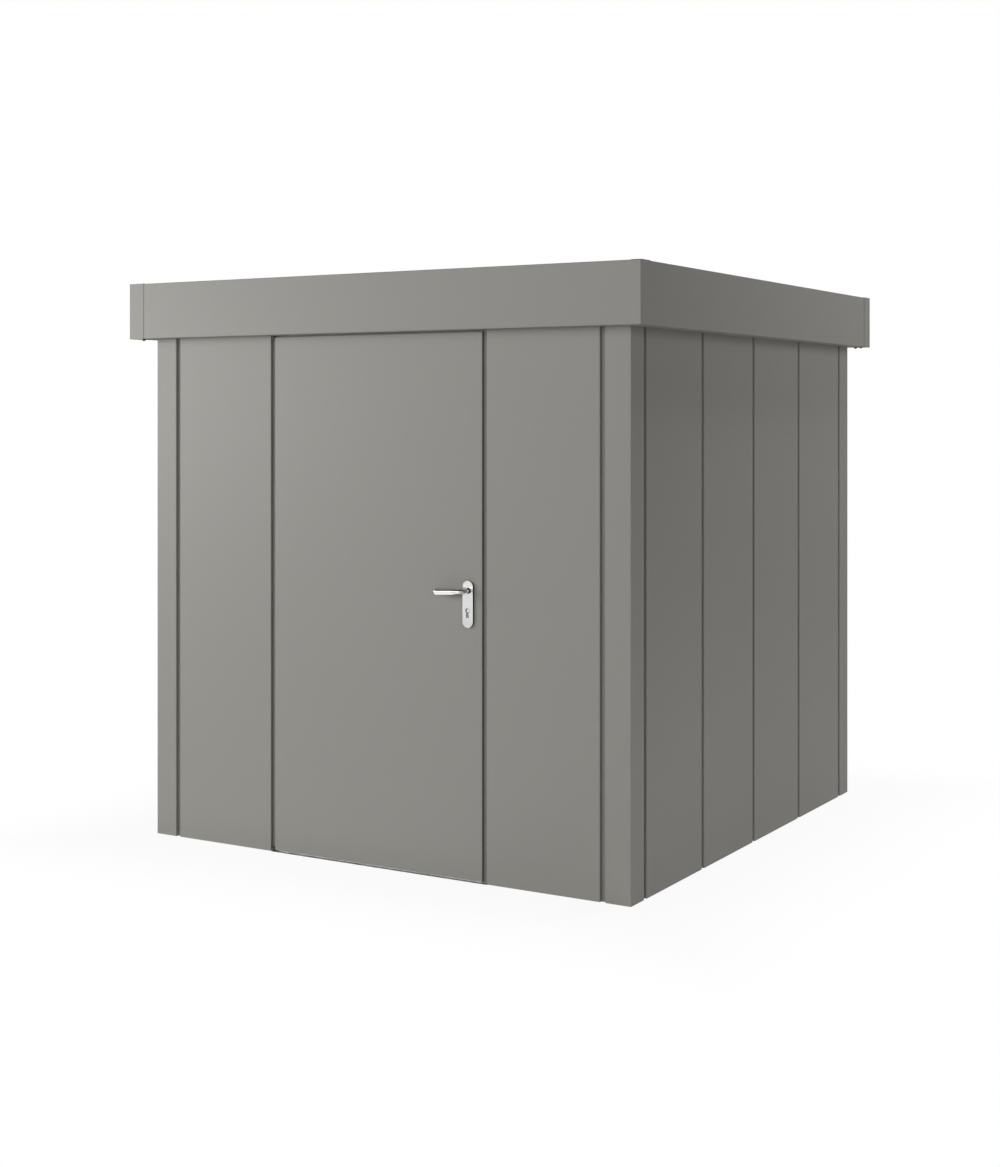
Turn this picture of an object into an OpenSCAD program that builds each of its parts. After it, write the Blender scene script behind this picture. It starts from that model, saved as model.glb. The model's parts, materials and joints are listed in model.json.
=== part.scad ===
// Flat-roofed tool shed of folded sheet metal, with one outward opening door.
// Origin: middle of the plan, on the ground. The door faces -Y, +Z is up.

/* [Walls] */
// Visible width of one wall panel
panel_w = 461; // [380:1:560]
// Open shadow joint between neighbouring panels, posts and the door
joint_gap = 20; // [16:1:28]
// Depth of the shadow joints behind the wall face
joint_depth = 13; // [11:0.5:20]
// Visible width of each leg of a corner post
post_leg = 101; // [70:1:140]
// Width of the folded edge that laps behind a panel
lap_w = 17; // [12:1:30]
// Thickness of the folded sheet
sheet_t = 1.5; // [1:0.1:2]
// Radius inside the folds of the sheet
bend_r = 1.5; // [0.5:0.1:2.5]
// Gap between the ground and the lower edge of panels and posts
ground_gap = 2; // [1:0.5:6]

/* [Roof] */
// Height from the ground to the top of the roof edge
total_h = 2220; // [2050:5:2500]
// Height of the fascia band
fascia_h = 222; // [170:1:260]
// How far the fascia stands out from the wall face
overhang = 77; // [50:1:120]
// Width of the flange at the top of the fascia
fascia_flange = 40; // [25:1:60]
// Height of the small folded lips of the fascia
fascia_lip = 15; // [8:1:20]
// Length of each leg of a fascia corner cover
cover_leg = 74; // [50:1:110]
// Sheet thickness of the corner covers and caps
cover_t = 1; // [0.6:0.1:1.5]
// Length of a corner cap along the front fascia
cap_across = 37; // [25:1:40]
// Length of a corner cap along the side fascia
cap_along = 75; // [40:1:110]
// Distance between the ribs of the roof sheet
rib_pitch = 200; // [150:5:280]
// Height of the ribs of the roof sheet
rib_h = 25; // [15:1:35]
// Width of the flat crest of a rib
rib_crest = 40; // [25:1:60]
// Sideways run of each sloping flank of a rib
rib_flank = 18; // [8:1:25]
// Fall of the roof sheet from front to back
roof_fall = 18; // [6:1:24]
// Distance between the roof beams
beam_pitch = 650; // [500:10:750]
// Width of the beams that carry the roof sheet
beam_w = 40; // [30:1:60]
// Width of the feet of the roof beams
beam_foot = 22; // [15:1:35]
// Height of the lowest edge of the roof sheet above the top rails
roof_rise = 44; // [38:1:48]
// Height of the roof edge above the top rails
parapet = 110; // [105:1:130]
// Width of the gutter behind the roof sheet
gutter_w = 86; // [78:1:92]
// Bore of the gutter outlet
outlet_bore = 40; // [25:1:45]
// Distance from the end of the gutter to its outlet
outlet_inset = 80; // [50:1:200]

/* [Frame rails] */
// Width of the flange of the base and top rails
rail_w = 46; // [35:1:60]
// Height of the upright leg of the base rail
base_leg = 50; // [35:1:80]
// How far the top rail laps behind the panels
top_lap = 50; // [30:1:70]
// How far the top rail rises above the panels
top_rise = 30; // [20:1:45]
// Bore of the anchor holes in the base rails
anchor_bore = 12; // [8:0.5:16]
// Distance between the anchor holes along one side
anchor_pitch = 1700; // [1200:10:1800]

/* [Door] */
// Clearance between the door and whatever it closes against
door_clear = 5; // [4:0.5:8]
// Gap under the door leaf
door_gap = 8; // [6.5:0.5:12]
// Gap between the door leaf and the soffit
door_top_gap = 5; // [5:0.5:8]
// Thickness of the door leaf
leaf_t = 42; // [35:1:55]
// Width of the rebate round the door leaf
rebate = 18; // [14:1:26]
// Height of the sill behind the door
sill_h = 20; // [16:1:24]
// Depth of the door frame from the joint to the inside
frame_depth = 47; // [38:1:70]
// Width of the folded edge on the inside of the frame
frame_lip = 20; // [12:1:30]
// Height of each strike slot in the frame
strike_h = 44; // [30:1:60]
// Width of each strike slot in the frame
strike_w = 12; // [8:0.5:16]
// Diameter of the pivot pins
pin_d = 6; // [4:0.5:8]
// Outer diameter of the eye that turns on a pivot pin
eye_d = 12; // [10:0.5:14]
// Depth of the pivot axis behind the wall face
pivot_depth = 4; // [3.5:0.25:5]

/* [Lock and handle] */
// Height of the lever spindle above the ground
lever_h = 1056; // [950:1:1150]
// Distance from the door edge to the lever spindle
lever_inset = 56; // [50:1:75]
// Height of the back plates
plate_h = 170; // [150:1:220]
// Width of the back plates
plate_w = 44; // [36:1:50]
// Thickness of the back plates
plate_t = 8; // [5:0.5:12]
// Diameter of the lever at its neck
neck_d = 18; // [15:0.5:22]
// Diameter of the lever at its grip
grip_d = 23; // [18:0.5:24.5]
// Length over which the neck widens to the grip
lever_taper = 34; // [15:1:45]
// Angle by which the lever hangs below level
lever_droop = 3; // [0:0.5:6]
// Reach of the lever from its spindle to its tip
lever_reach = 132; // [105:1:140]
// Distance from the plate to the outside of the lever
lever_out = 50; // [42:1:60]
// Bend radius of the lever, on its middle line
lever_bend = 14; // [12.5:0.5:18]
// Distance from the spindle to the lock cylinder
lock_pitch = 72; // [60:1:92]
// Diameter of the round part of the lock cylinder
lock_d = 17; // [15:0.5:20]
// Width of the tail of the lock cylinder
lock_tail_w = 10; // [8:0.5:12]
// Height of the lock cylinder from top to bottom
lock_tail_h = 33; // [28:0.5:38]
// Distance from the face of a back plate down to the lock cylinder
lock_recess = 4; // [0:0.5:4.5]
// Room round the lock cylinder in the back plates
keyhole_room = 1; // [0.4:0.1:1.5]

/* [Hidden] */
$fn = 48;
bend_steps = 3;

paint = [0.545, 0.537, 0.51];
zinc = [0.72, 0.73, 0.74];
steel = [0.78, 0.78, 0.77];

panels_per_wall = 4;
pitch = panel_w + joint_gap;
wall_side = 2 * post_leg + panels_per_wall * panel_w + (panels_per_wall + 1) * joint_gap;
wall_half = wall_side / 2;
roof_half = wall_half + overhang;
first_panel = -wall_half + post_leg + joint_gap;

// Heights
soffit_z = total_h - cover_t - (fascia_h - 2 * cover_t);
rail_top_z = total_h - parapet;
wall_top = rail_top_z - top_rise;
fascia_top = total_h - cover_t;
fascia_half = roof_half - cover_t;
corner_r = bend_r + sheet_t;

// Depths behind the wall face
seat_gap = 0.2;
lip_depth = joint_depth - seat_gap;
tongue_back = joint_depth + sheet_t;
lip_w = lap_w - sheet_t;
rail_front = tongue_back;
rail_back = rail_front + rail_w;
frame_back = joint_depth + frame_depth;

// Door opening and leaf
lining_room = 1;
leaf_w = 2 * panel_w + joint_gap;
leaf_half = leaf_w / 2;
opening_half = leaf_half + joint_gap;
rebate_d = joint_depth - door_clear;
body_half = leaf_half - rebate;
lining_half = body_half + door_clear + lining_room;
leaf_bottom = door_gap;
leaf_top = soffit_z - door_top_gap;
body_bottom = leaf_bottom + rebate;
body_top = leaf_top - rebate;
head_z = body_top + door_clear + lining_room;
seat_lip = 8;

// Door pivots
pivot_x = -leaf_half - joint_gap / 2;
pivot_y = -wall_half + pivot_depth;
fit = 0.3;
arm_h = 8;
arm_reach = 70;
collar_d = eye_d - 2;
bracket_room = 2;
bracket_h = 2.5;

// Lever and lock
lever_x = leaf_half - lever_inset;
plate_top_above = 36;
plate_mid_z = lever_h + plate_top_above - plate_h / 2;
lock_z = lever_h - lock_pitch;
spindle = 8;
case_t = 15;
case_h = 165;
case_w = 62;
front_plate_t = 3;
front_plate_w = 24;
front_plate_h = 235;
neck_bore = neck_d + 2 * fit;
neck_seat = 6;
stub_room = 8;
lever_stub = lever_out - grip_d / 2 - lever_bend - stub_room;
spindle_grip = 10;
lock_y = (rebate_d + leaf_t) / 2;
front_plate_mid = lever_h - lock_pitch / 2;
spindle_tip = leaf_t + plate_t + spindle_grip;

// Roof
edge_room = 20;
gutter_bearing = 16;
gutter_lap = 14;
gutter_lip = 10;
gutter_drop = 4;
beam_end_gap = 2;
sheet_half_w = roof_half - cover_t - sheet_t - edge_room;
sheet_front = -sheet_half_w;
gutter_front = wall_half - tongue_back - gutter_bearing;
gutter_back = gutter_front + gutter_w;
sheet_back = gutter_front + gutter_lap;
roof_slope = roof_fall / (sheet_back - sheet_front);
sheet_back_z = rail_top_z + roof_rise;
rib_count = floor((2 * sheet_half_w - 2 * rib_flank - rib_crest) / rib_pitch);
outlet = [-sheet_half_w + outlet_inset, (wall_half + gutter_back) / 2];
cut = 1;

// Unit direction from p to q
function unit(p, q) = (q - p) / norm(q - p);
// Normal to the left of a direction
function left_of(d) = [-d.y, d.x];
// The same list from its end to its start
function reversed(list) = [for (i = [len(list) - 1 : -1 : 0]) list[i]];

// Points round the fold at corner i of a path, on the face that lies o to the left of it,
// for a sheet of thickness t to the left of the path
function fold_points(path, i, o, t) =
    let (
        d1 = unit(path[i - 1], path[i]),
        d2 = unit(path[i], path[i + 1]),
        n1 = left_of(d1),
        n2 = left_of(d2),
        turn = atan2(d1.x * d2.y - d1.y * d2.x, d1 * d2),
        s = sign(turn),
        r = s > 0 ? bend_r + t : bend_r,
        middle = path[i] + s * r * (n1 + n2) / (1 + n1 * n2),
        start = atan2(n1.y, n1.x)
    )
    [for (k = [0 : bend_steps])
        let (a = start + turn * k / bend_steps)
        middle - s * (r - s * o) * [cos(a), sin(a)]];
// One face of a folded sheet, o to the left of its path
function fold_face(path, o, t) =
    let (last = len(path) - 1)
    concat(
        [path[0] + o * left_of(unit(path[0], path[1]))],
        [for (i = [1 : last - 1]) each fold_points(path, i, o, t)],
        [path[last] + o * left_of(unit(path[last - 1], path[last]))]
    );
// Closed outline of a sheet of thickness t folded along a path, with t to the left
function folded(path, t) = concat(fold_face(path, 0, t), reversed(fold_face(path, t, t)));

// Sheet folded along a path in plan, standing from z0 to z1
module upright(path, z0, z1, t = sheet_t) {
    translate([0, 0, z0])
        linear_extrude(z1 - z0)
            polygon(folded(path, t));
}

// Sheet folded along a path of [depth, height], running along X from x0 to x1
module lengthwise(path, x0, x1, t = sheet_t) {
    translate([x0, 0, 0])
        rotate([90, 0, 90])
            linear_extrude(x1 - x0)
                polygon(folded(path, t));
}

// Places a wall drawn with its face on y = 0, turned k quarter turns from the front
module on_side(k) {
    rotate([0, 0, 90 * k])
        translate([0, -wall_half, 0])
            children();
}

// Wedge of the plan that belongs to the front side, for mitred corners
module mitre_wedge(reach, z0, z1) {
    translate([0, 0, z0])
        linear_extrude(z1 - z0)
            polygon([[-reach, -reach + wall_half], [reach, -reach + wall_half], [0, wall_half]]);
}

// Walls
module post(k) {
    lap = post_leg + joint_gap + lap_w;
    path = [
        [joint_depth, lap], [joint_depth, post_leg], [0, post_leg], [0, 0],
        [post_leg, 0], [post_leg, joint_depth], [lap, joint_depth]
    ];
    color(paint)
        rotate([0, 0, 90 * k])
            translate([-wall_half, -wall_half, 0])
                upright(path, ground_gap, wall_top);
}

// Lip of a panel edge that rests on the neighbour's lap, from its free end to the face
function edge_lip(x, inward) = [[x + inward * lip_w, lip_depth], [x, lip_depth], [x, 0]];
// Folded lap that closes the joint behind the next panel
function edge_lap(x) = [[x, 0], [x, joint_depth], [x + joint_gap + lap_w, joint_depth]];

module wall_panel(x, lapped) {
    right = lapped ? edge_lap(x + panel_w) : reversed(edge_lip(x + panel_w, -1));
    upright(concat(edge_lip(x, 1), right), ground_gap, wall_top);
}

module wall_of_panels(k) {
    color(paint)
        on_side(k)
            for (i = [0 : panels_per_wall - 1])
                wall_panel(first_panel + i * pitch, i < panels_per_wall - 1);
}

module front_panel(side) {
    color(paint)
        mirror([side > 0 ? 1 : 0, 0, 0])
            on_side(0)
                wall_panel(first_panel, false);
}

// Base rails and sill
module base_profile(x0, x1) {
    path = [[rail_front, base_leg], [rail_front, 0], [rail_back, 0]];
    lengthwise(path, x0, x1);
}

module anchor_holes(at) {
    for (x = at)
        translate([x, rail_front + rail_w / 2 + sheet_t, -cut])
            cylinder(d = anchor_bore, h = sheet_t + 2 * cut);
}

module base_rail(k) {
    color(zinc)
        on_side(k)
            difference() {
                intersection() {
                    base_profile(-wall_half, wall_half);
                    mitre_wedge(wall_half, -cut, base_leg + cut);
                }
                anchor_holes([-anchor_pitch / 2, anchor_pitch / 2]);
            }
}

module base_rail_front(side) {
    color(zinc)
        mirror([side > 0 ? 1 : 0, 0, 0])
            on_side(0)
                difference() {
                    intersection() {
                        base_profile(-wall_half, -lining_half - sheet_t - bend_r);
                        mitre_wedge(wall_half, -cut, base_leg + cut);
                    }
                    anchor_holes([-anchor_pitch / 2]);
                }
}

module threshold() {
    step_z = sill_h - sheet_t;
    path = [[0, 0], [tongue_back, 0], [tongue_back, step_z], [frame_back, step_z], [frame_back, 0]];
    color(zinc)
        on_side(0) {
            lengthwise(path, -lining_half, lining_half);
            for (side = [-1, 1])
                translate([side < 0 ? -opening_half : lining_half, 0, 0])
                    cube([opening_half - lining_half, joint_depth, sheet_t]);
        }
}

// Door frame
module jamb(side) {
    path = [
        [-opening_half - lap_w, joint_depth], [-lining_half, joint_depth],
        [-lining_half, frame_back], [-lining_half - frame_lip, frame_back]
    ];
    color(paint)
        mirror([side > 0 ? 1 : 0, 0, 0])
            on_side(0)
                upright(path, sheet_t, head_z);
}

module jamb_with_strike() {
    difference() {
        jamb(1);
        color(zinc)
            on_side(0)
                for (z = [lever_h, lock_z])
                    translate([lining_half - cut, lock_y - strike_w / 2, z - strike_h / 2])
                        cube([sheet_t + 2 * cut, strike_w, strike_h]);
    }
}

module door_head() {
    path = [[joint_depth, wall_top], [joint_depth, head_z], [frame_back, head_z]];
    color(paint)
        on_side(0)
            lengthwise(path, -opening_half - lap_w, opening_half + lap_w);
}

// Top rails
module top_rail(k) {
    path = [
        [rail_back, rail_top_z - top_rise], [rail_back, rail_top_z],
        [rail_front, rail_top_z], [rail_front, wall_top - top_lap]
    ];
    color(zinc)
        on_side(k)
            intersection() {
                lengthwise(path, -wall_half, wall_half);
                mitre_wedge(wall_half, wall_top - top_lap - cut, total_h);
            }
}

// Roof
// Height of the underside of the roof sheet at depth y
function roof_z(y) = sheet_back_z + (sheet_back - y) * roof_slope;

module roof_beams() {
    half = beam_w / 2;
    foot = half + beam_foot;
    reach = wall_half - rail_front - beam_end_gap;
    color(zinc)
        for (y = [-beam_pitch, 0, beam_pitch]) {
            crown = roof_z(y + half) - seat_gap - sheet_t;
            path = [
                [y - foot, rail_top_z], [y - half, rail_top_z], [y - half, crown],
                [y + half, crown], [y + half, rail_top_z], [y + foot, rail_top_z]
            ];
            lengthwise(path, -reach, reach);
        }
}

// Folding line of one rib whose middle is at x
function rib(x) = [
    [x - rib_crest / 2 - rib_flank, 0], [x - rib_crest / 2, rib_h],
    [x + rib_crest / 2, rib_h], [x + rib_crest / 2 + rib_flank, 0]
];

module roof_sheet() {
    first_rib = -(rib_count - 1) * rib_pitch / 2;
    path = concat(
        [[-sheet_half_w, 0]],
        [for (i = [0 : rib_count - 1]) each rib(first_rib + i * rib_pitch)],
        [[sheet_half_w, 0]]
    );
    length = sheet_back - sheet_front;
    color(zinc)
        translate([0, sheet_back, sheet_back_z])
            rotate([90 - atan(roof_slope), 0, 0])
                linear_extrude(length)
                    polygon(folded(path, sheet_t));
}

module outlet_hole(z, bore) {
    translate([outlet.x, outlet.y, z - cut])
        cylinder(d = bore, h = sheet_t + 2 * cut);
}

module gutter() {
    top = sheet_back_z - gutter_drop;
    path = [
        [gutter_front, top], [gutter_front, rail_top_z], [gutter_back, rail_top_z],
        [gutter_back, top], [gutter_back - gutter_lip, top]
    ];
    color(zinc)
        difference() {
            lengthwise(path, -sheet_half_w, sheet_half_w);
            outlet_hole(rail_top_z, outlet_bore);
        }
}

// Square plan of half side w about the middle of the shed, with corners of radius r
module rounded_plan(w, r) {
    square([2 * w, 2 * (w - r)], center = true);
    square([2 * (w - r), 2 * w], center = true);
    for (x = [r - w, w - r], y = [r - w, w - r])
        translate([x, y])
            circle(r = r);
}

module fascia_profile(k) {
    face = -overhang + cover_t;
    path = [
        [0, soffit_z + fascia_lip], [0, soffit_z], [face, soffit_z], [face, fascia_top],
        [face + fascia_flange, fascia_top], [face + fascia_flange, fascia_top - fascia_lip]
    ];
    intersection() {
        on_side(k)
            intersection() {
                lengthwise(reversed(path), -roof_half, roof_half);
                mitre_wedge(roof_half, soffit_z - cut, total_h);
            }
        translate([0, 0, soffit_z - cut])
            linear_extrude(fascia_h + 2 * cut)
                rounded_plan(fascia_half, corner_r);
    }
}

module fascia(k) {
    color(paint)
        fascia_profile(k);
}

// Fascia with the drain hole that lies under the gutter outlet
module fascia_with_drain() {
    color(paint)
        difference() {
            fascia_profile(2);
            outlet_hole(soffit_z, outlet_bore);
        }
}

// Square of side w with its corner at the origin rounded by r
module one_round_corner(w, r) {
    translate([r, r])
        circle(r = r);
    translate([r, 0])
        square([w - r, w]);
    translate([0, r])
        square([w, w - r]);
}

module corner_cover() {
    translate([-roof_half, -roof_half, soffit_z - cover_t])
        difference() {
            linear_extrude(fascia_h)
                one_round_corner(cover_leg, 2 * cover_t);
            translate([cover_t, cover_t, cover_t])
                cube([cover_leg, cover_leg, fascia_h - 2 * cover_t]);
            translate([fascia_flange, fascia_flange, -cut])
                cube([cover_leg, cover_leg, fascia_h + 2 * cut]);
        }
}

module fascia_corner_covers() {
    color(paint)
        for (k = [0, 2])
            rotate([0, 0, 90 * k])
                corner_cover();
}

module fascia_corner_caps() {
    color(paint)
        for (k = [0, 2])
            rotate([0, 0, 90 * k])
                translate([0, 0, fascia_top])
                    linear_extrude(cover_t)
                        intersection() {
                            rounded_plan(fascia_half, corner_r);
                            translate([fascia_half - cap_across, -fascia_half])
                                square([cap_across, cap_along]);
                        }
}

// Door
module door_pivots() {
    bracket_z = leaf_top + bracket_room;
    color(zinc) {
        translate([pivot_x, pivot_y, sheet_t]) {
            cylinder(d = collar_d, h = leaf_bottom - fit);
            cylinder(d = pin_d, h = leaf_bottom + arm_h);
        }
        translate([pivot_x, pivot_y, leaf_top - arm_h - sheet_t])
            cylinder(d = pin_d, h = arm_h + sheet_t + bracket_room + bracket_h);
        translate([pivot_x - eye_d / 2, pivot_y - eye_d / 2, bracket_z])
            cube([eye_d, joint_depth - pivot_depth + eye_d / 2, bracket_h]);
    }
}

module arm_outline() {
    reach = joint_gap / 2 + arm_reach;
    arm_w = rebate_d - 2 * sheet_t;
    circle(d = eye_d);
    translate([0, sheet_t - pivot_depth])
        square([reach, arm_w]);
}

module pivot_arm(z) {
    translate([pivot_x, pivot_y, z])
        linear_extrude(arm_h)
            difference() {
                arm_outline();
                circle(d = pin_d + 2 * fit);
            }
}

module door_pivot_arms() {
    color(zinc) {
        pivot_arm(leaf_bottom + sheet_t);
        pivot_arm(leaf_top - sheet_t - arm_h);
    }
}

// Box given by its low and high corners
module box(low, high) {
    translate(low)
        cube(high - low);
}

// Round hole for the lever and keyhole with room for the lock, through depths y0 to y1
module lock_holes(y0, y1, neck, room = fit) {
    translate([lever_x, y1, lever_h])
        rotate([90, 0, 0])
            cylinder(d = neck, h = y1 - y0);
    translate([lever_x, y1, lock_z])
        rotate([90, 0, 0])
            linear_extrude(y1 - y0)
                lock_outline(room);
}

module lock_outline(grow) {
    circle(d = lock_d + 2 * grow);
    translate([-lock_tail_w / 2 - grow, lock_d / 2 - lock_tail_h - grow])
        square([lock_tail_w + 2 * grow, lock_tail_h - lock_d / 2 + grow]);
}

// Block from the origin, w by d, with the two corners on y = 0 rounded by r
module two_round_corners(w, d, r) {
    for (x = [r, w - r])
        translate([x, r])
            circle(r = r);
    translate([r, 0])
        square([w - 2 * r, d]);
    translate([0, r])
        square([w, d - r]);
}

// Outer block of the leaf, with its front edges rounded as folds
module leaf_block() {
    leaf_h = leaf_top - leaf_bottom;
    translate([-leaf_half, 0, leaf_bottom])
        intersection() {
            linear_extrude(leaf_h)
                two_round_corners(leaf_w, rebate_d, sheet_t);
            translate([leaf_w, 0, 0])
                rotate([0, -90, 0])
                    linear_extrude(leaf_w)
                        two_round_corners(leaf_h, rebate_d, sheet_t);
        }
}

module door_outer_sheet() {
    seat_half = body_half - seat_lip;
    color(paint)
        on_side(0)
            difference() {
                leaf_block();
                box([-leaf_half + sheet_t, sheet_t, leaf_bottom + sheet_t],
                    [leaf_half - sheet_t, rebate_d - sheet_t, leaf_top - sheet_t]);
                box([-seat_half, sheet_t, body_bottom + seat_lip],
                    [seat_half, rebate_d + cut, body_top - seat_lip]);
                for (z = [leaf_bottom + sheet_t, leaf_top - sheet_t - arm_h])
                    box([-leaf_half - cut, sheet_t, z],
                        [-leaf_half + sheet_t + cut, rebate_d - sheet_t, z + arm_h]);
                lock_holes(-cut, sheet_t + cut, neck_bore);
            }
}

module door_inner_sheet() {
    color(paint)
        on_side(0)
            difference() {
                box([-body_half, rebate_d, body_bottom], [body_half, leaf_t, body_top]);
                box([-body_half + sheet_t, rebate_d - cut, body_bottom + sheet_t],
                    [body_half - sheet_t, leaf_t - sheet_t, body_top - sheet_t]);
                front_plate_space();
                lock_holes(leaf_t - sheet_t - cut, leaf_t + cut, neck_bore);
            }
}

module front_plate_space() {
    half = [0, front_plate_w / 2, front_plate_h / 2];
    middle = [body_half, lock_y, front_plate_mid];
    box(middle - half - [front_plate_t, 0, 0], middle + half);
}

module lock_front_plate() {
    color(steel)
        on_side(0)
            front_plate_space();
}

module lock_case() {
    color(zinc)
        on_side(0)
            difference() {
                box([body_half - front_plate_t - case_w, lock_y - case_t / 2, front_plate_mid - case_h / 2],
                    [body_half - front_plate_t, lock_y + case_t / 2, front_plate_mid + case_h / 2]);
                lock_holes(lock_y - case_t, lock_y + case_t, spindle * sqrt(2) + 2 * fit);
            }
}

module lock_cylinder() {
    front = lock_recess - plate_t;
    back = leaf_t + plate_t - lock_recess;
    color(steel)
        on_side(0)
            translate([lever_x, back, lock_z])
                rotate([90, 0, 0])
                    linear_extrude(back - front)
                        lock_outline(0);
}

module back_plate(y0, y1) {
    half = plate_h / 2 - plate_w / 2;
    color(steel)
        on_side(0)
            difference() {
                translate([lever_x, y1, plate_mid_z])
                    rotate([90, 0, 0])
                        linear_extrude(y1 - y0) {
                            for (side = [-1, 1])
                                translate([0, side * half])
                                    circle(d = plate_w);
                            square([plate_w, 2 * half], center = true);
                        }
                lock_holes(y0 - cut, y1 + cut, neck_bore, keyhole_room);
            }
}

// Lever with its plate on y = 0, its neck along -Y and its grip along -X
module lever() {
    grip_y = -lever_out + grip_d / 2;
    grip_end = -lever_reach + grip_d / 2 + lever_bend;
    grip_start = -lever_bend - lever_taper;
    rotate([0, -lever_droop, 0]) {
        translate([0, neck_seat, 0])
            rotate([90, 0, 0])
                cylinder(d = neck_d, h = neck_seat - grip_y - lever_bend);
        translate([-lever_bend, grip_y + lever_bend, 0])
            quarter_bend(-90, neck_d);
        translate([-lever_bend, grip_y, 0])
            rotate([0, -90, 0])
                cylinder(d1 = neck_d, d2 = grip_d, h = lever_taper);
        translate([grip_start, grip_y, 0])
            rotate([0, -90, 0])
                cylinder(d = grip_d, h = grip_start - grip_end);
        translate([grip_end, grip_y + lever_bend, 0])
            quarter_bend(180, grip_d);
        translate([grip_end - lever_bend, grip_y + lever_bend, 0])
            rotate([-90, 0, 0])
                cylinder(d = grip_d, h = lever_stub);
    }
}

// Quarter bend of a bar of diameter d that starts at the given angle
module quarter_bend(start, d) {
    rotate([0, 0, start])
        rotate_extrude(angle = 90)
            translate([lever_bend, 0])
                circle(d = d);
}

module lever_outside() {
    color(steel)
        on_side(0)
            translate([lever_x, 0, lever_h]) {
                translate([0, -plate_t, 0])
                    lever();
                box([-spindle / 2, -plate_t, -spindle / 2], [spindle / 2, spindle_tip, spindle / 2]);
            }
}

module lever_inside() {
    socket = spindle / 2 + fit / 2;
    color(steel)
        on_side(0)
            translate([lever_x, 0, lever_h])
                difference() {
                    translate([0, leaf_t + plate_t, 0])
                        mirror([0, 1, 0])
                            lever();
                    box([-socket, 0, -socket], [socket, spindle_tip + fit, socket]);
                }
}

base_rail_front(-1);  // base_rail_front_left
base_rail_front(1);  // base_rail_front_right
base_rail(1);  // base_rail_right
base_rail(2);  // base_rail_back
base_rail(3);  // base_rail_left
threshold();
post(0);  // post_front_left
post(1);  // post_front_right
post(2);  // post_back_right
post(3);  // post_back_left
front_panel(-1);  // front_panel_left
front_panel(1);  // front_panel_right
wall_of_panels(1);  // right_panels
wall_of_panels(2);  // back_panels
wall_of_panels(3);  // left_panels
jamb(-1);  // jamb_hinge_side
jamb_with_strike();  // jamb_lock_side
door_head();
top_rail(0);  // top_rail_front
top_rail(1);  // top_rail_right
top_rail(2);  // top_rail_back
top_rail(3);  // top_rail_left
roof_beams();
roof_sheet();
gutter();
fascia(0);  // fascia_front
fascia(1);  // fascia_right
fascia_with_drain();  // fascia_back
fascia(3);  // fascia_left
fascia_corner_covers();
fascia_corner_caps();
door_pivots();
door_outer_sheet();
door_inner_sheet();
door_pivot_arms();
lock_case();
lock_front_plate();
lock_cylinder();
back_plate(-plate_t, 0);  // plate_outside
back_plate(leaf_t, leaf_t + plate_t);  // plate_inside
lever_outside();
lever_inside();
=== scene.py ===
"""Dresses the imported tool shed: finishes, fine pieces, studio light and camera.

Every length is in metres, in the frame of the CAD part: the origin is the middle of the
plan on the ground, the door faces -Y and +Z is up.
"""

import json
import logging
import math
from dataclasses import dataclass, field
from enum import Enum

import bmesh
import bpy
import numpy as np
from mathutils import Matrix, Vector


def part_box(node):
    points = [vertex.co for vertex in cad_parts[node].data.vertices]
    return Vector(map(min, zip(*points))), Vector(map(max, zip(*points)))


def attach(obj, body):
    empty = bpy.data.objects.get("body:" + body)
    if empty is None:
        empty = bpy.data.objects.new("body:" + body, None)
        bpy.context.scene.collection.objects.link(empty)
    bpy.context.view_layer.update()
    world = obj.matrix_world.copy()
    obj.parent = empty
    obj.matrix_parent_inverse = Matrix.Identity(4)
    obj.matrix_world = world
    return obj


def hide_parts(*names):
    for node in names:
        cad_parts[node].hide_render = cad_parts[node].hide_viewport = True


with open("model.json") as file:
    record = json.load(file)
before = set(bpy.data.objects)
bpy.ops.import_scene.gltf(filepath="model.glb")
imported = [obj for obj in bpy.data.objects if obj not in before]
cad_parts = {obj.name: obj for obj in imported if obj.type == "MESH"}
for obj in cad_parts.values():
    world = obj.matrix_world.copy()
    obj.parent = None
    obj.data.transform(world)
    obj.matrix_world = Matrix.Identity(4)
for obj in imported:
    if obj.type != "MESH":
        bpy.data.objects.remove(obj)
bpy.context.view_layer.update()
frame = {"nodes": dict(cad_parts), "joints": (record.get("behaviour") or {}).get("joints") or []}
LOG = logging.getLogger("tool_shed")

Pair = tuple[float, float]
Vec3 = tuple[float, float, float]
Tree = bpy.types.NodeTree
Socket = bpy.types.NodeSocket
Value = float | tuple | Socket
Surface = tuple[Socket, Socket, Socket]

COLOUR = "NodeSocketColor"
NUMBER = "NodeSocketFloat"
WHITE = (1.0, 1.0, 1.0, 1.0)
UP = (0.0, 0.0, 1.0)
DOWN = (0.0, 0.0, -1.0)
RIGHT = (1.0, 0.0, 0.0)
MERGE_DISTANCE = 1e-6
CREASE_ANGLE = math.radians(35)


class Body(Enum):
    """Bodies of the part that pieces ride on."""

    SHED = "shed"
    DOOR = "door"
    HANDLE = "handle"


class Slot(Enum):
    """Material slots of the record; no piece in this script is given one."""

    ZINC = "zinc_coated_sheet"
    STEEL = "stainless_fittings"
    NICKEL = "nickel_lock"


class Side(Enum):
    """Sides of the shed, as quarter turns anticlockwise from the front, seen from above."""

    FRONT = 0
    RIGHT = 1
    BACK = 2
    LEFT = 3

    def turned(self, across: float, back: float, height: float) -> Vec3:
        """Turns a point or a direction, given as on the front, to this side.

        Args:
            across: how far it is to the right, seen from outside.
            back: how far it is along +Y on the front.
            height: how far it is up.

        Returns:
            The point or direction in the frame of the part.
        """
        turn = self.value * math.pi / 2.0
        cosine, sine = math.cos(turn), math.sin(turn)
        return (across * cosine - back * sine, across * sine + back * cosine, height)


# Node trees


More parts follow.
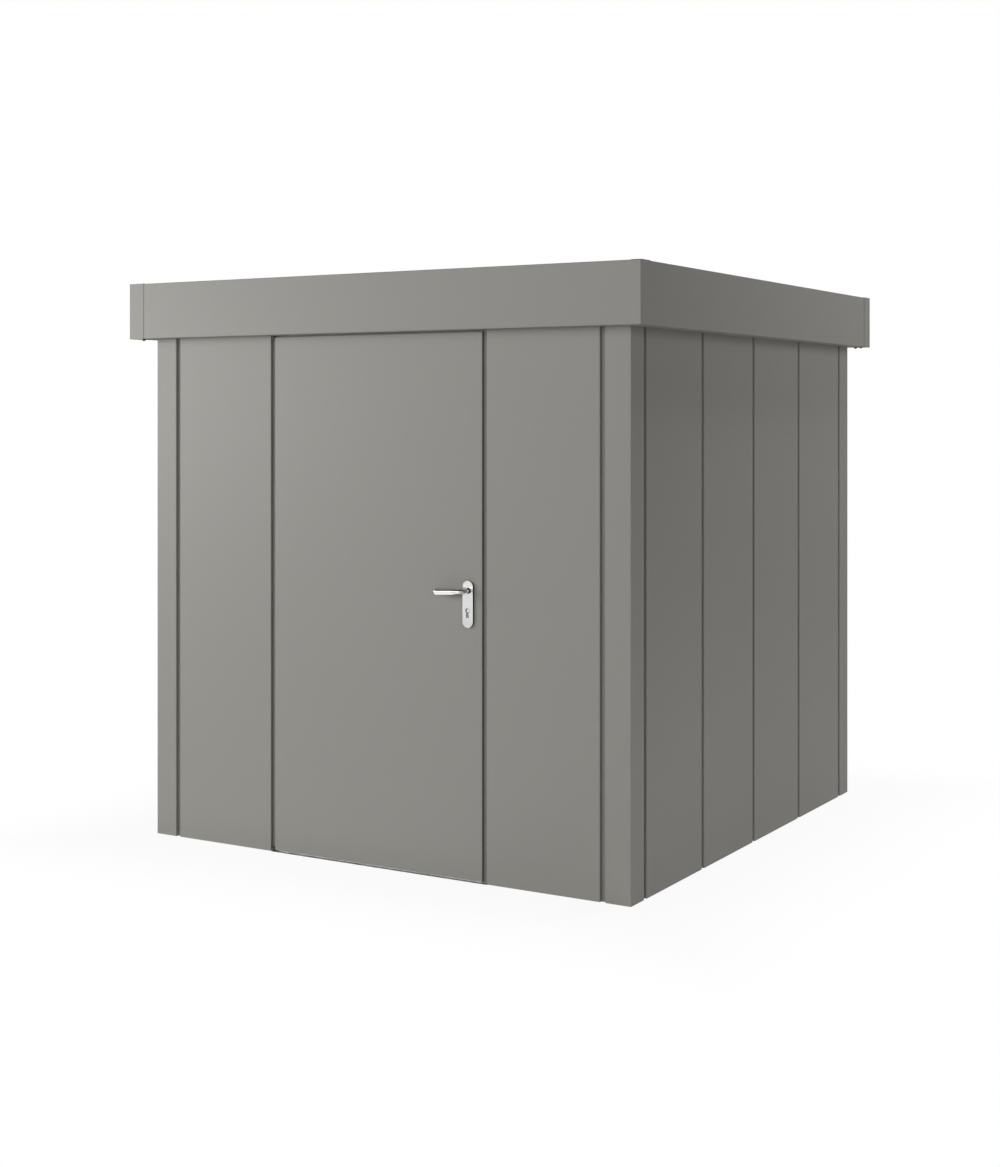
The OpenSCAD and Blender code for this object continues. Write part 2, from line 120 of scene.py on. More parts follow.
class NodeBench:
    """Places nodes in one tree and joins their sockets."""

    def __init__(self, tree: Tree) -> None:
        """Keeps the tree that the nodes go into."""
        self.tree = tree

    def add(self, kind: str, sockets: dict | None = None, **settings: object) -> bpy.types.Node:
        """Adds one node, sets its properties and fills its inputs.

        Args:
            kind: Blender's name for the type of node.
            sockets: input name or number, to a socket that is joined or to a plain value.
            **settings: properties of the node.

        Returns:
            The new node.
        """
        node = self.tree.nodes.new(kind)
        for key, value in settings.items():
            setattr(node, key, value)
        for key, value in (sockets or {}).items():
            if isinstance(value, Socket):
                self.tree.links.new(value, node.inputs[key])
            else:
                node.inputs[key].default_value = value
        return node

    def object_point(self) -> Socket:
        """Socket of the point on the piece, in the frame of the part."""
        return self.add("ShaderNodeTexCoord").outputs["Object"]

    def height(self, vector: Socket) -> Socket:
        """Socket of a vector's part along the Z axis."""
        return self.add("ShaderNodeSeparateXYZ", {"Vector": vector}).outputs["Z"]

    def along(self, vector: Socket, direction: Vec3) -> Socket:
        """Socket of a vector's part along a direction, by their dot product."""
        node = self.add("ShaderNodeVectorMath", {0: vector, 1: direction}, operation="DOT_PRODUCT")
        return node.outputs["Value"]

    def shaded(self, colour: Socket, factor: Socket) -> Socket:
        """Socket of a colour times a factor."""
        node = self.add("ShaderNodeVectorMath", {0: colour, "Scale": factor}, operation="SCALE")
        return node.outputs["Vector"]

    def worked(self, operation: str, *numbers: Value) -> Socket:
        """Socket of a number that one Math node works out from others."""
        node = self.add("ShaderNodeMath", dict(enumerate(numbers)), operation=operation)
        return node.outputs["Value"]

    def mixed(self, share: Socket, first: Value, second: Value) -> Socket:
        """Socket of two colours mixed, with a share of the second."""
        # A Mix node takes its colours at inputs 6 and 7, and gives the mixed one at output 2.
        node = self.add("ShaderNodeMix", {0: share, 6: first, 7: second}, data_type="RGBA")
        return node.outputs[2]

    def noise(self, point: Socket, scale: Value, detail: float, roughness: float = 0.5) -> Socket:
        """Adds a noise between 0 and 1.

        Args:
            point: point that it is read at.
            scale: how fine it is.
            detail: number of finer layers in it.
            roughness: strength of each finer layer against the one before.

        Returns:
            Socket with the noise.
        """
        sockets = {"Vector": point, "Scale": scale, "Detail": detail, "Roughness": roughness}
        return self.add("ShaderNodeTexNoise", sockets).outputs["Fac"]

    def ramp(self, value: Socket, span: tuple, ends: tuple = (0.0, 1.0), smooth: bool = False) -> Socket:
        """Maps a value from a span onto the range between two ends, and holds it there beyond the span.

        Args:
            value: socket with the value.
            span: the values, as numbers or sockets, that the ramp runs from and to.
            ends: what the ramp gives at the first and at the second of them.
            smooth: whether the ramp is a smooth step, or else straight.

        Returns:
            Socket with the mapped value.
        """
        sockets = {"Value": value, "From Min": span[0], "From Max": span[1],
                   "To Min": ends[0], "To Max": ends[1]}
        kind = "SMOOTHSTEP" if smooth else "LINEAR"
        return self.add("ShaderNodeMapRange", sockets, interpolation_type=kind).outputs["Result"]


@dataclass
class Effects:
    """Shader groups that several finishes share, each built once."""

    drift_detail: float = 4.0
    drift_roughness: float = 0.55
    fine_detail: float = 2.0
    fine_share: float = 0.5
    coarse_detail: float = 1.0
    dust_scale: float = 9.0
    dust_detail: float = 5.0
    drift: Tree = field(init=False)
    grain: Tree = field(init=False)
    dust: Tree = field(init=False)

    def __post_init__(self) -> None:
        """Builds the groups."""
        self.drift = self.tone_drift()
        self.grain = self.fine_grain()
        self.dust = self.settled_dust()

    @staticmethod
    def group(name: str, inputs: dict[str, str], outputs: dict[str, str]) -> tuple:
        """Starts a shader group.

        Args:
            name: name of the group.
            inputs: input name to its socket type.
            outputs: output name to its socket type.

        Returns:
            A bench on the group's tree, the sockets that it is given and the sockets that it fills.
        """
        tree = bpy.data.node_groups.new(name, "ShaderNodeTree")
        for way, sockets in (("INPUT", inputs), ("OUTPUT", outputs)):
            for label, kind in sockets.items():
                tree.interface.new_socket(label, in_out=way, socket_type=kind)
        bench = NodeBench(tree)
        return bench, bench.add("NodeGroupInput").outputs, bench.add("NodeGroupOutput").inputs

    def tone_drift(self) -> Tree:
        """Broad noise that brightens and dims a colour by Amount, and moves a roughness by Spread.

        Returns:
            Node tree of the group.
        """
        inputs = dict.fromkeys(("Roughness", "Amount", "Spread", "Scale"), NUMBER)
        bench, given, filled = self.group("tone_drift", {"Color": COLOUR, **inputs},
                                          {"Color": COLOUR, "Roughness": NUMBER})
        noise = bench.noise(bench.object_point(), given["Scale"], self.drift_detail, self.drift_roughness)
        swing = bench.ramp(noise, (0.0, 1.0), (-1.0, 1.0))
        tone = bench.worked("MULTIPLY_ADD", swing, given["Amount"], 1.0)
        rough = bench.worked("MULTIPLY_ADD", swing, given["Spread"], given["Roughness"])
        bench.tree.links.new(bench.shaded(given["Color"], tone), filled["Color"])
        bench.tree.links.new(rough, filled["Roughness"])
        return bench.tree

    def fine_grain(self) -> Tree:
        """Height of an uneven skin: a share of a noise at Scale, plus a coarser one at Scale times Ratio.

        Returns:
            Node tree of the group.
        """
        inputs = dict.fromkeys(("Scale", "Ratio"), NUMBER)
        bench, given, filled = self.group("fine_grain", inputs, {"Height": NUMBER})
        point = bench.object_point()
        fine = bench.noise(point, given["Scale"], self.fine_detail)
        coarse_scale = bench.worked("MULTIPLY", given["Scale"], given["Ratio"])
        coarse = bench.noise(point, coarse_scale, self.coarse_detail)
        height = bench.worked("MULTIPLY_ADD", fine, self.fine_share, coarse)
        bench.tree.links.new(height, filled["Height"])
        return bench.tree

    def settled_dust(self) -> Tree:
        """Mask of dust that fades out at Height above the ground, broken up by noise, at most Amount.

        Returns:
            Node tree of the group.
        """
        inputs = dict.fromkeys(("Height", "Amount"), NUMBER)
        bench, given, filled = self.group("settled_dust", inputs, {"Mask": NUMBER})
        point = bench.object_point()
        fade = bench.ramp(bench.height(point), (0.0, given["Height"]), (1.0, 0.0))
        broken = bench.worked("MULTIPLY", fade, bench.noise(point, self.dust_scale, self.dust_detail))
        bench.tree.links.new(bench.worked("MULTIPLY", broken, given["Amount"]), filled["Mask"])
        return bench.tree


# Finishes


@dataclass(frozen=True)
class Finish:
    """A finish: one Principled shader fed by the shared effects."""

    name: str
    colour: Vec3
    roughness: float
    metallic: float = 0.0
    specular: float = 0.5
    tone_amount: float = 0.02
    tone_scale: float = 1.5
    rough_spread: float = 0.03
    grain_scale: float = 500.0
    grain_ratio: float = 0.02
    grain_depth: float = 0.0002
    grain_strength: float = 0.1
    dust_amount: float = 0.0
    dust_height: float = 0.3
    dust_colour: Vec3 = (0.42, 0.39, 0.34)

    def surface(self, bench: NodeBench, effects: Effects) -> Surface:
        """Lays out the nodes of the surface.

        Args:
            bench: bench of the material's tree.
            effects: the shared groups.

        Returns:
            Sockets of the colour, the roughness and the height of the grain.
        """
        drift = bench.add("ShaderNodeGroup", {"Color": (*self.colour, 1.0), "Roughness": self.roughness,
                                              "Amount": self.tone_amount, "Spread": self.rough_spread,
                                              "Scale": self.tone_scale}, node_tree=effects.drift)
        grain = bench.add("ShaderNodeGroup", {"Scale": self.grain_scale, "Ratio": self.grain_ratio},
                          node_tree=effects.grain)
        colour = drift.outputs["Color"]
        if self.dust_amount > 0:
            dust = bench.add("ShaderNodeGroup", {"Height": self.dust_height, "Amount": self.dust_amount},
                             node_tree=effects.dust)
            colour = bench.mixed(dust.outputs["Mask"], colour, (*self.dust_colour, 1.0))
        return colour, drift.outputs["Roughness"], grain.outputs["Height"]

    def material(self, effects: Effects) -> bpy.types.Material:
        """Makes the material.

        Args:
            effects: the shared groups.

        Returns:
            The new material.
        """
        made = bpy.data.materials.new(self.name)
        made.use_nodes = True
        made.node_tree.nodes.clear()
        bench = NodeBench(made.node_tree)
        colour, roughness, height = self.surface(bench, effects)
        bump = bench.add("ShaderNodeBump", {"Height": height, "Strength": self.grain_strength,
                                            "Distance": self.grain_depth})
        shader = bench.add("ShaderNodeBsdfPrincipled",
                           {"Base Color": colour, "Roughness": roughness, "Metallic": self.metallic,
                            "Specular IOR Level": self.specular, "Normal": bump.outputs["Normal"]})
        bench.add("ShaderNodeOutputMaterial", {"Surface": shader.outputs["BSDF"]})
        return made


@dataclass(frozen=True)
class SpangledZinc(Finish):
    """Zinc coat whose crystals show as patches of lighter and darker grey."""

    spangle_scale: float = 55.0
    spangle_tone: float = 0.16

    def surface(self, bench: NodeBench, effects: Effects) -> Surface:
        """Adds the crystals to the shared surface.

        Args:
            bench: bench of the material's tree.
            effects: the shared groups.

        Returns:
            Sockets of the colour, the roughness and the height of the grain.
        """
        colour, roughness, height = super().surface(bench, effects)
        cells = bench.add("ShaderNodeTexVoronoi", {"Vector": bench.object_point(),
                                                   "Scale": self.spangle_scale})
        tone = bench.add("ShaderNodeSeparateColor", {"Color": cells.outputs["Color"]}).outputs["Red"]
        shade = bench.ramp(tone, (0.0, 1.0), (1.0 - self.spangle_tone, 1.0 + self.spangle_tone))
        return bench.shaded(colour, shade), roughness, height


@dataclass(frozen=True)
class BrushedSteel(Finish):
    """Polished metal with faint brush lines along the X axis."""

    metallic: float = 1.0
    tone_amount: float = 0.03
    tone_scale: float = 60.0
    grain_scale: float = 1200.0
    grain_depth: float = 0.00005
    grain_strength: float = 0.05
    line_scale: float = 900.0
    line_stretch: float = 0.03
    line_detail: float = 2.0
    line_rough: float = 0.06

    def surface(self, bench: NodeBench, effects: Effects) -> Surface:
        """Adds the brush lines to the roughness of the shared surface.

        Args:
            bench: bench of the material's tree.
            effects: the shared groups.

        Returns:
            Sockets of the colour, the roughness and the height of the grain.
        """
        colour, roughness, height = super().surface(bench, effects)
        stretched = bench.add("ShaderNodeMapping", {"Vector": bench.object_point(),
                                                    "Scale": (self.line_stretch, 1.0, 1.0)})
        lines = bench.noise(stretched.outputs["Vector"], self.line_scale, self.line_detail)
        return colour, bench.worked("MULTIPLY_ADD", lines, self.line_rough, roughness), height


@dataclass(frozen=True)
class ShadeRimmedSteel(BrushedSteel):
    """Polished steel of a plate with painted shade on its rims: faces that look along the door count as
    rim and are mixed toward near black.
    """

    # Near black of the painted shade on the rims.
    rim_shade_colour: Vec3 = (0.03, 0.03, 0.03)
    rim_shade_span: Pair = (0.75, 0.35)

    def surface(self, bench: NodeBench, effects: Effects) -> Surface:
        """Paints shade on the rims of the brushed surface, where the normal's part across the door is
        small.

        Args:
            bench: bench of the material's tree.
            effects: the shared groups.

        Returns:
            Sockets of the colour, the roughness and the height of the grain.
        """
        colour, roughness, height = super().surface(bench, effects)
        normal = bench.add("ShaderNodeTexCoord").outputs["Normal"]
        across = bench.worked("ABSOLUTE", bench.along(normal, (0.0, 1.0, 0.0)))
        # Painted shade: the plate's side faces are mixed toward the near black.
        rim = bench.ramp(across, self.rim_shade_span, smooth=True)
        return bench.mixed(rim, colour, (*self.rim_shade_colour, 1.0)), roughness, height


SATIN_PAINT = Finish("satin_paint", (0.268, 0.262, 0.2425), 0.5, specular=0.25, tone_amount=0.012,
                     tone_scale=0.9, grain_scale=700.0, grain_ratio=0.006, grain_depth=0.0003,
                     grain_strength=0.05, dust_amount=0.06, dust_height=0.2)
ZINC_COAT = SpangledZinc("zinc_coat", (0.52, 0.53, 0.54), 0.42, metallic=0.85, tone_amount=0.05,
                         tone_scale=5.0, rough_spread=0.08, grain_scale=260.0, grain_strength=0.08,
                         dust_amount=0.25, dust_height=0.12)
HIGH_POLISH = {"tone_amount": 0.01, "tone_scale": 30.0, "rough_spread": 0.02, "grain_scale": 900.0,
               "grain_strength": 0.04}
POLISHED_STEEL = BrushedSteel("polished_steel", (0.63, 0.63, 0.625), 0.11, **HIGH_POLISH)
# The plates' steel, with painted shade on their side faces.
PLATE_STEEL = ShadeRimmedSteel("plate_steel", (0.88, 0.88, 0.88), 0.14, **HIGH_POLISH)
# Dark steel of the lock cylinder: painted shade of its recess in the plate.
SHADED_LOCK_STEEL = BrushedSteel("lock_steel_painted_shade", (0.3, 0.295, 0.285), 0.3)
SATIN_NICKEL = BrushedSteel("satin_nickel", (0.68, 0.675, 0.665), 0.24)
# Black rubber of the door seal, also the black of the seam beads and neck collars that paint shade.
RUBBER_AND_SHADE_BLACK = Finish("rubber_and_painted_shade", (0.018, 0.018, 0.019), 0.62, tone_amount=0.1, tone_scale=12.0,
                     rough_spread=0.08, grain_scale=900.0, grain_depth=0.0003, grain_strength=0.25)
# Near black zinc: painted shade on the screws under the soffit and on the door pivots in their groove.
SHADE_DARK_ZINC = SpangledZinc("zinc_painted_shade", (0.07, 0.07, 0.068), 0.5, metallic=0.4, tone_amount=0.1,
                          tone_scale=40.0, spangle_scale=300.0)
PALE_FLOOR = Finish("pale_floor", (0.86, 0.86, 0.855), 0.9, specular=0.1, tone_amount=0.004,
                    tone_scale=0.5)


@dataclass
class Palette:
    """The materials of the shed."""

    effects: Effects = field(default_factory=Effects)
    made: dict[str, bpy.types.Material] = field(default_factory=dict)

    def of(self, finish: Finish) -> bpy.types.Material:
        """Looks up the material of a finish, and makes it at its first use.

        Args:
            finish: the finish.

        Returns:
            Its material.
        """
        if finish.name not in self.made:
            self.made[finish.name] = finish.material(self.effects)
        return self.made[finish.name]

    def dress(self, finish: Finish, *starts: str) -> None:
        """Gives a finish to the CAD nodes whose names start with certain words.

        Args:
            finish: the finish.
            *starts: starts of the names, or whole names.
        """
        for name, node in frame["nodes"].items():
            if name.startswith(starts):
                node.data.materials.clear()
                node.data.materials.append(self.of(finish))
                LOG.info("node %s: %s", name, finish.name)


# Surfaces


@dataclass
class Patchwork:
    """Grids of points that become one mesh."""

    points: list[np.ndarray] = field(default_factory=list)
    quads: list[np.ndarray] = field(default_factory=list)
    count: int = 0

    def lay(self, sheet: np.ndarray, ring: bool = False, loop: bool = False) -> None:
        """Adds a grid and a quad between each four neighbours in it.

        Args:
            sheet: points, as rows by columns by 3.
            ring: whether the last column joins the first.
            loop: whether the last row joins the first.
        """
        rows, columns = sheet.shape[:2]
        r0, c0 = np.meshgrid(np.arange(rows if loop else rows - 1),
                             np.arange(columns if ring else columns - 1), indexing="ij")
        r1, c1 = (r0 + 1) % rows, (c0 + 1) % columns
        corners = np.stack([r * columns + c for r, c in ((r0, c0), (r0, c1), (r1, c1), (r1, c0))], -1)
        self.quads.append(corners.reshape(-1, 4) + self.count)
        self.points.append(sheet.reshape(-1, 3))
        self.count += rows * columns

    def mesh(self, name: str) -> bpy.types.Mesh:
        """Makes the mesh, with doubles merged at poles and seams and faces outward.

        Args:
            name: name of the mesh.

        Returns:
            The new mesh, smooth but for its creases.
        """
        made = bpy.data.meshes.new(name)
        made.from_pydata(np.concatenate(self.points).tolist(), [], np.concatenate(self.quads).tolist())
        work = bmesh.new()
        work.from_mesh(made)
        bmesh.ops.remove_doubles(work, verts=work.verts, dist=MERGE_DISTANCE)
        bmesh.ops.recalc_face_normals(work, faces=work.faces)
        work.to_mesh(made)
        work.free()
        made.polygons.foreach_set("use_smooth", np.ones(len(made.polygons), bool))
        made.set_sharp_from_angle(angle=CREASE_ANGLE)
        return made


def full_turn(steps: int) -> np.ndarray:
    """Angles of a full turn in equal steps, the first of them 0."""
    return np.linspace(0.0, 2.0 * np.pi, steps, endpoint=False)


def quarter_turn(steps: int) -> np.ndarray:
    """Angles from 0 to a quarter turn in equal steps."""
    return np.linspace(0.0, np.pi / 2.0, steps)


def turned(profile: np.ndarray, sides: int) -> np.ndarray:
    """Turns a profile round the Z axis: radius times the cosine and sine of the angle, and height.

    Args:
        profile: rows of radius and height.
        sides: number of steps round the axis.

    Returns:
        Grid of points, one row for each row of the profile.
    """
    angle = full_turn(sides)
    radius, height = profile[:, :1], profile[:, 1:]
    return np.stack([radius * np.cos(angle), radius * np.sin(angle), height * np.ones(sides)], -1)


def placed(sheet: np.ndarray, place: Vec3, up: Vec3) -> np.ndarray:
    """Turns a grid so that its Z axis lies along up, and moves it.

    Args:
        sheet: grid of points about the origin.
        place: where the origin goes.
        up: unit direction that the Z axis takes, plumb or level.

    Returns:
        The moved grid: each point times the three axes of the turned frame, plus the place.
    """
    axis = np.array(up)
    first = np.cross(np.array(RIGHT if up in (UP, DOWN) else UP), axis)
    first /= np.linalg.norm(first)
    return sheet @ np.stack([first, np.cross(axis, first), axis]) + np.array(place)


def rounded_outline(half_w: float, half_h: float, power: float, steps: int) -> np.ndarray:
    """Superellipse: each coordinate is the half size times a power of the cosine or sine of the angle.

    Args:
        half_w: half of the width.
        half_h: half of the height.
        power: 2 gives an ellipse, and more gives squarer corners.
        steps: number of points.

    Returns:
        Rows of two coordinates, anticlockwise.
    """
    angle = full_turn(steps)
    c, s = np.cos(angle), np.sin(angle)
    return np.stack([half_w * np.sign(c) * abs(c) ** (2.0 / power),
                     half_h * np.sign(s) * abs(s) ** (2.0 / power)], -1)


def pad(outline: np.ndarray, height: float, fillet: float, fillet_steps: int = 5) -> np.ndarray:
    """Pad on an outline: the wall rises, rounds over by a quarter circle and closes at the middle.

    Args:
        outline: rows of two coordinates.
        height: height of the pad.
        fillet: radius of the rounded edge.
        fillet_steps: number of rings in the rounded edge.

    Returns:
        Grid of points: each ring is the outline drawn in by an inset, at the ring's height.
    """
    angle = quarter_turn(fillet_steps)
    inset = np.concatenate([[0.0], fillet * (1.0 - np.cos(angle))])
    level = np.concatenate([[0.0], height - fillet + fillet * np.sin(angle)])
    size = np.linalg.norm(outline, axis=1, keepdims=True)
    rings = outline[None] * (1.0 - inset[:, None, None] / size[None])
    wall = np.concatenate([rings, np.repeat(level[:, None, None], len(outline), 1)], -1)
    ends = np.zeros((1, len(outline), 3))
    return np.concatenate([ends, wall, ends + [0.0, 0.0, height]])


@dataclass(frozen=True)
class ScrewHead:
    """Domed screw head; washer is how far a washer reaches past it, or 0 for none."""

    radius: float
    height: float
    washer: float
    sides: int
    rim_share: float = 0.35
    washer_share: float = 0.2
    lip_share: float = 0.25
    dome_steps: int = 6

    def sheet(self) -> np.ndarray:
        """Turns a profile round the Z axis: a flat washer, a short rim and a quarter ellipse to the pole.

        Returns:
            Grid of points from the seat, at height 0, to the pole.
        """
        angle = quarter_turn(self.dome_steps)
        rim = self.rim_share * self.height
        dome = np.stack([self.radius * np.cos(angle), rim + (self.height - rim) * np.sin(angle)], -1)
        edge = self.radius + self.washer
        seat = [[0.0, 0.0], [edge, 0.0]]
        if self.washer > 0:
            seat += [[edge, self.washer_share * self.height], [self.radius, self.lip_share * self.height]]
        return turned(np.concatenate([np.array(seat), dome]), self.sides)


def spindle_point() -> Vec3:
    """Point on the spindle of the levers, where the joint that turns them lies."""
    return next(joint["pos_m"] for joint in frame["joints"] if joint["name"] == "lever_turn")


def add_object(name: str, data: bpy.types.ID) -> bpy.types.Object:
    """Puts a new object with its mesh, light or camera into the scene.

    Args:
        name: name of the object.
        data: what the object shows.

    Returns:
        The new object.
    """
    made = bpy.data.objects.new(name, data)
    bpy.context.scene.collection.objects.link(made)
    return made


def add_piece(name: str, work: Patchwork, body: Body, material: bpy.types.Material) -> bpy.types.Object:
    """Makes a piece of the shed from its grids.

    Args:
        name: name of the piece.
        work: its grids.
        body: the body that it rides on.
        material: its material.

    Returns:
        The new object.
    """
    made = add_object(name, work.mesh(name))
    made.data.materials.append(material)
    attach(made, body.value)
    LOG.info("piece %s: %d faces on %s", name, len(made.data.polygons), body.value)
    return made


# Sub-assemblies


@dataclass
class WallShell:
    """Posts, panels and rails, with the screws that hold the panels to the rails."""

    palette: Palette
    screw: ScrewHead = ScrewHead(radius=0.0055, height=0.0035, washer=0.002, sides=14)
    screw_pitch: float = 0.2405
    screws_per_side: int = 8
    rail_skin_depth: float = 0.016
    low_row: float = 0.03
    high_row_drop: float = 0.03
    door_half: float = 0.5

    def dress(self) -> None:
        """Paints the sheets and leaves the rails in zinc."""
        self.palette.dress(SATIN_PAINT, "post_", "front_panel_", "back_panels", "left_panels",
                           "right_panels")
        self.palette.dress(ZINC_COAT, "base_rail_", "top_rail_")

    def build(self) -> None:
        """Sets two rows of screw heads on the inside of each wall, none of them in the doorway."""
        head = self.screw.sheet()
        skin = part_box("post_front_left")[0].y + self.rail_skin_depth
        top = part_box("back_panels")[1].z - self.high_row_drop
        spots = (np.arange(self.screws_per_side) - (self.screws_per_side - 1) / 2.0) * self.screw_pitch
        work = Patchwork()
        for side in Side:
            inward = side.turned(0.0, 1.0, 0.0)
            for across in spots:
                if side is Side.FRONT and abs(across) < self.door_half:
                    continue
                for height in (self.low_row, top):
                    work.lay(placed(head, side.turned(across, skin, height), inward), ring=True)
        add_piece("rail_screws", work, Body.SHED, self.palette.of(ZINC_COAT))


@dataclass
class RoofEdge:
    """Fascias, corner covers and caps, with the screws under the covers and the black beads beside them,
    which paint the shade of the seams.
    """

    palette: Palette
    screw: ScrewHead = ScrewHead(radius=0.0065, height=0.0055, washer=0.0015, sides=18)
    screw_along: float = 0.06
    screw_in: float = 0.021
    leg: float = 0.074
    shade_bead_radius: float = 0.001
    shade_bead_end: float = 0.002
    shade_bead_steps: int = 8

    def dress(self) -> None:
        """Paints the roof edge."""
        self.palette.dress(SATIN_PAINT, "fascia_")

    def build(self) -> None:
        """Sets two screw heads under each corner cover and a black bead along each of its edges, as
        painted shade of the seam.
        """
        low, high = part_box("fascia_corner_covers")
        head = self.screw.sheet()
        work = Patchwork()
        for corner, step in ((low, 1.0), (high, -1.0)):
            for dx, dy in ((self.screw_along, self.screw_in), (self.screw_in, self.screw_along)):
                place = (corner.x + step * dx, corner.y + step * dy, low.z)
                work.lay(placed(head, place, DOWN), ring=True)
        # The cover screws are near black as painted shade under the soffit.
        add_piece("cover_screws", work, Body.SHED, self.palette.of(SHADE_DARK_ZINC))
        self.build_shade_beads(low, high)

    def build_shade_beads(self, low: Vector, high: Vector) -> None:
        """Runs a black half round bead up the fascia where each leg of a corner cover ends, as painted
        shade of the seam.

        The profile is a half circle, drawn in at both ends, and the path is a plumb line.

        Args:
            low: low corner of the covers' box.
            high: high corner of the covers' box.
        """
        angle = np.linspace(0.0, np.pi, self.shade_bead_steps)
        length = high.z - low.z
        rise = np.array([0.0, self.shade_bead_end, length - self.shade_bead_end, length])
        swell = np.array([0.0, 1.0, 1.0, 0.0])[:, None] * self.shade_bead_radius
        along = self.leg + swell * np.cos(angle)
        out = -swell * np.sin(angle)
        height = low.z + rise[:, None] * np.ones(self.shade_bead_steps)
        face_low, face_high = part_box("fascia_left")[0].x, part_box("fascia_right")[1].x
        shade_beads = Patchwork()
        for corner, face, step in ((low, face_low, 1.0), (high, face_high, -1.0)):
            shade_beads.lay(np.stack([corner.x + step * along, face + step * out, height], -1), ring=True)
            shade_beads.lay(np.stack([face + step * out, corner.y + step * along, height], -1), ring=True)
        # The beads are black: painted shade of the seams.
        add_piece("cover_shade_beads", shade_beads, Body.SHED, self.palette.of(RUBBER_AND_SHADE_BLACK))


@dataclass
class RoofDeck:
    """Ribbed roof sheet on its beams, with the gutter behind it and the roofing screws."""

    palette: Palette
    screw: ScrewHead = ScrewHead(radius=0.006, height=0.0055, washer=0.003, sides=14)
    rib_pitch: float = 0.2
    rib_foot: float = 0.076
    rib_height: float = 0.025
    sheet: float = 0.0015
    beam_pitch: float = 0.65

    def dress(self) -> None:
        """Leaves the roof in zinc."""
        self.palette.dress(ZINC_COAT, "roof_", "gutter")

    def build(self) -> None:
        """Sets a screw with a washer in every pan between two ribs, above each beam."""
        low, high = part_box("roof_sheet")
        fall = high.z - low.z - self.rib_height - self.sheet
        ribs = math.floor((high.x - low.x - self.rib_foot) / self.rib_pitch)
        spots = (np.arange(ribs - 1) - (ribs - 2) / 2.0) * self.rib_pitch
        head = self.screw.sheet()
        work = Patchwork()
        for y in (-self.beam_pitch, 0.0, self.beam_pitch):
            skin = low.z + self.sheet + fall * (high.y - y) / (high.y - low.y)
            for x in spots:
                work.lay(placed(head, (x, y, skin), UP), ring=True)
        add_piece("roof_screws", work, Body.SHED, self.palette.of(ZINC_COAT))


@dataclass
class DoorFrame:
    """Jambs, head and sill of the door, with the rubber seal that the leaf closes on."""

    palette: Palette
    lining_half: float = 0.459
    lining_top: float = 1.981
    seal_gap: float = 0.0015
    seal_width: float = 0.009
    seal_height: float = 0.0044
    seal_steps: int = 12

    def dress(self) -> None:
        """Paints the frame, leaves the sill in zinc and gives the pivots a near black zinc as painted
        shade.
        """
        self.palette.dress(SATIN_PAINT, "jamb_", "door_head")
        self.palette.dress(ZINC_COAT, "threshold")
        self.palette.dress(SHADE_DARK_ZINC, "door_pivots")

    def build(self) -> None:
        """Runs the seal up one jamb, along the head and down the other.

        The profile is half an ellipse on a flat foot. Each point of it is carried along a
        path of four stations, and the corners of the path move outward with the point.
        """
        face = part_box("jamb_hinge_side")[0].y
        angle = np.linspace(0.0, np.pi, self.seal_steps)
        out = self.seal_gap + self.seal_width * (0.5 - 0.5 * np.cos(angle))
        depth = face - self.seal_height * np.sin(angle)
        x, top = self.lining_half + out, self.lining_top + out
        foot = np.full_like(x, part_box("threshold")[1].z)
        stations = ((-x, depth, foot), (-x, depth, top), (x, depth, top), (x, depth, foot))
        sheet = np.stack([np.stack(station, -1) for station in stations])
        work = Patchwork()
        work.lay(sheet, ring=True)
        for rim in (sheet[0], sheet[-1]):
            middle = rim.mean(axis=0, keepdims=True)
            work.lay(np.stack([rim, np.repeat(middle, len(rim), 0)]), ring=True)
        add_piece("door_seal", work, Body.SHED, self.palette.of(RUBBER_AND_SHADE_BLACK))


@dataclass
class DoorLeaf:
    """Outer and inner sheet of the door, with the arms that turn on the pivots."""

    palette: Palette

    def dress(self) -> None:
        """Paints the leaf and gives the pivot arms a near black zinc as painted shade."""
        self.palette.dress(SATIN_PAINT, "door_outer_", "door_inner_")
        self.palette.dress(SHADE_DARK_ZINC, "door_pivot_arms")


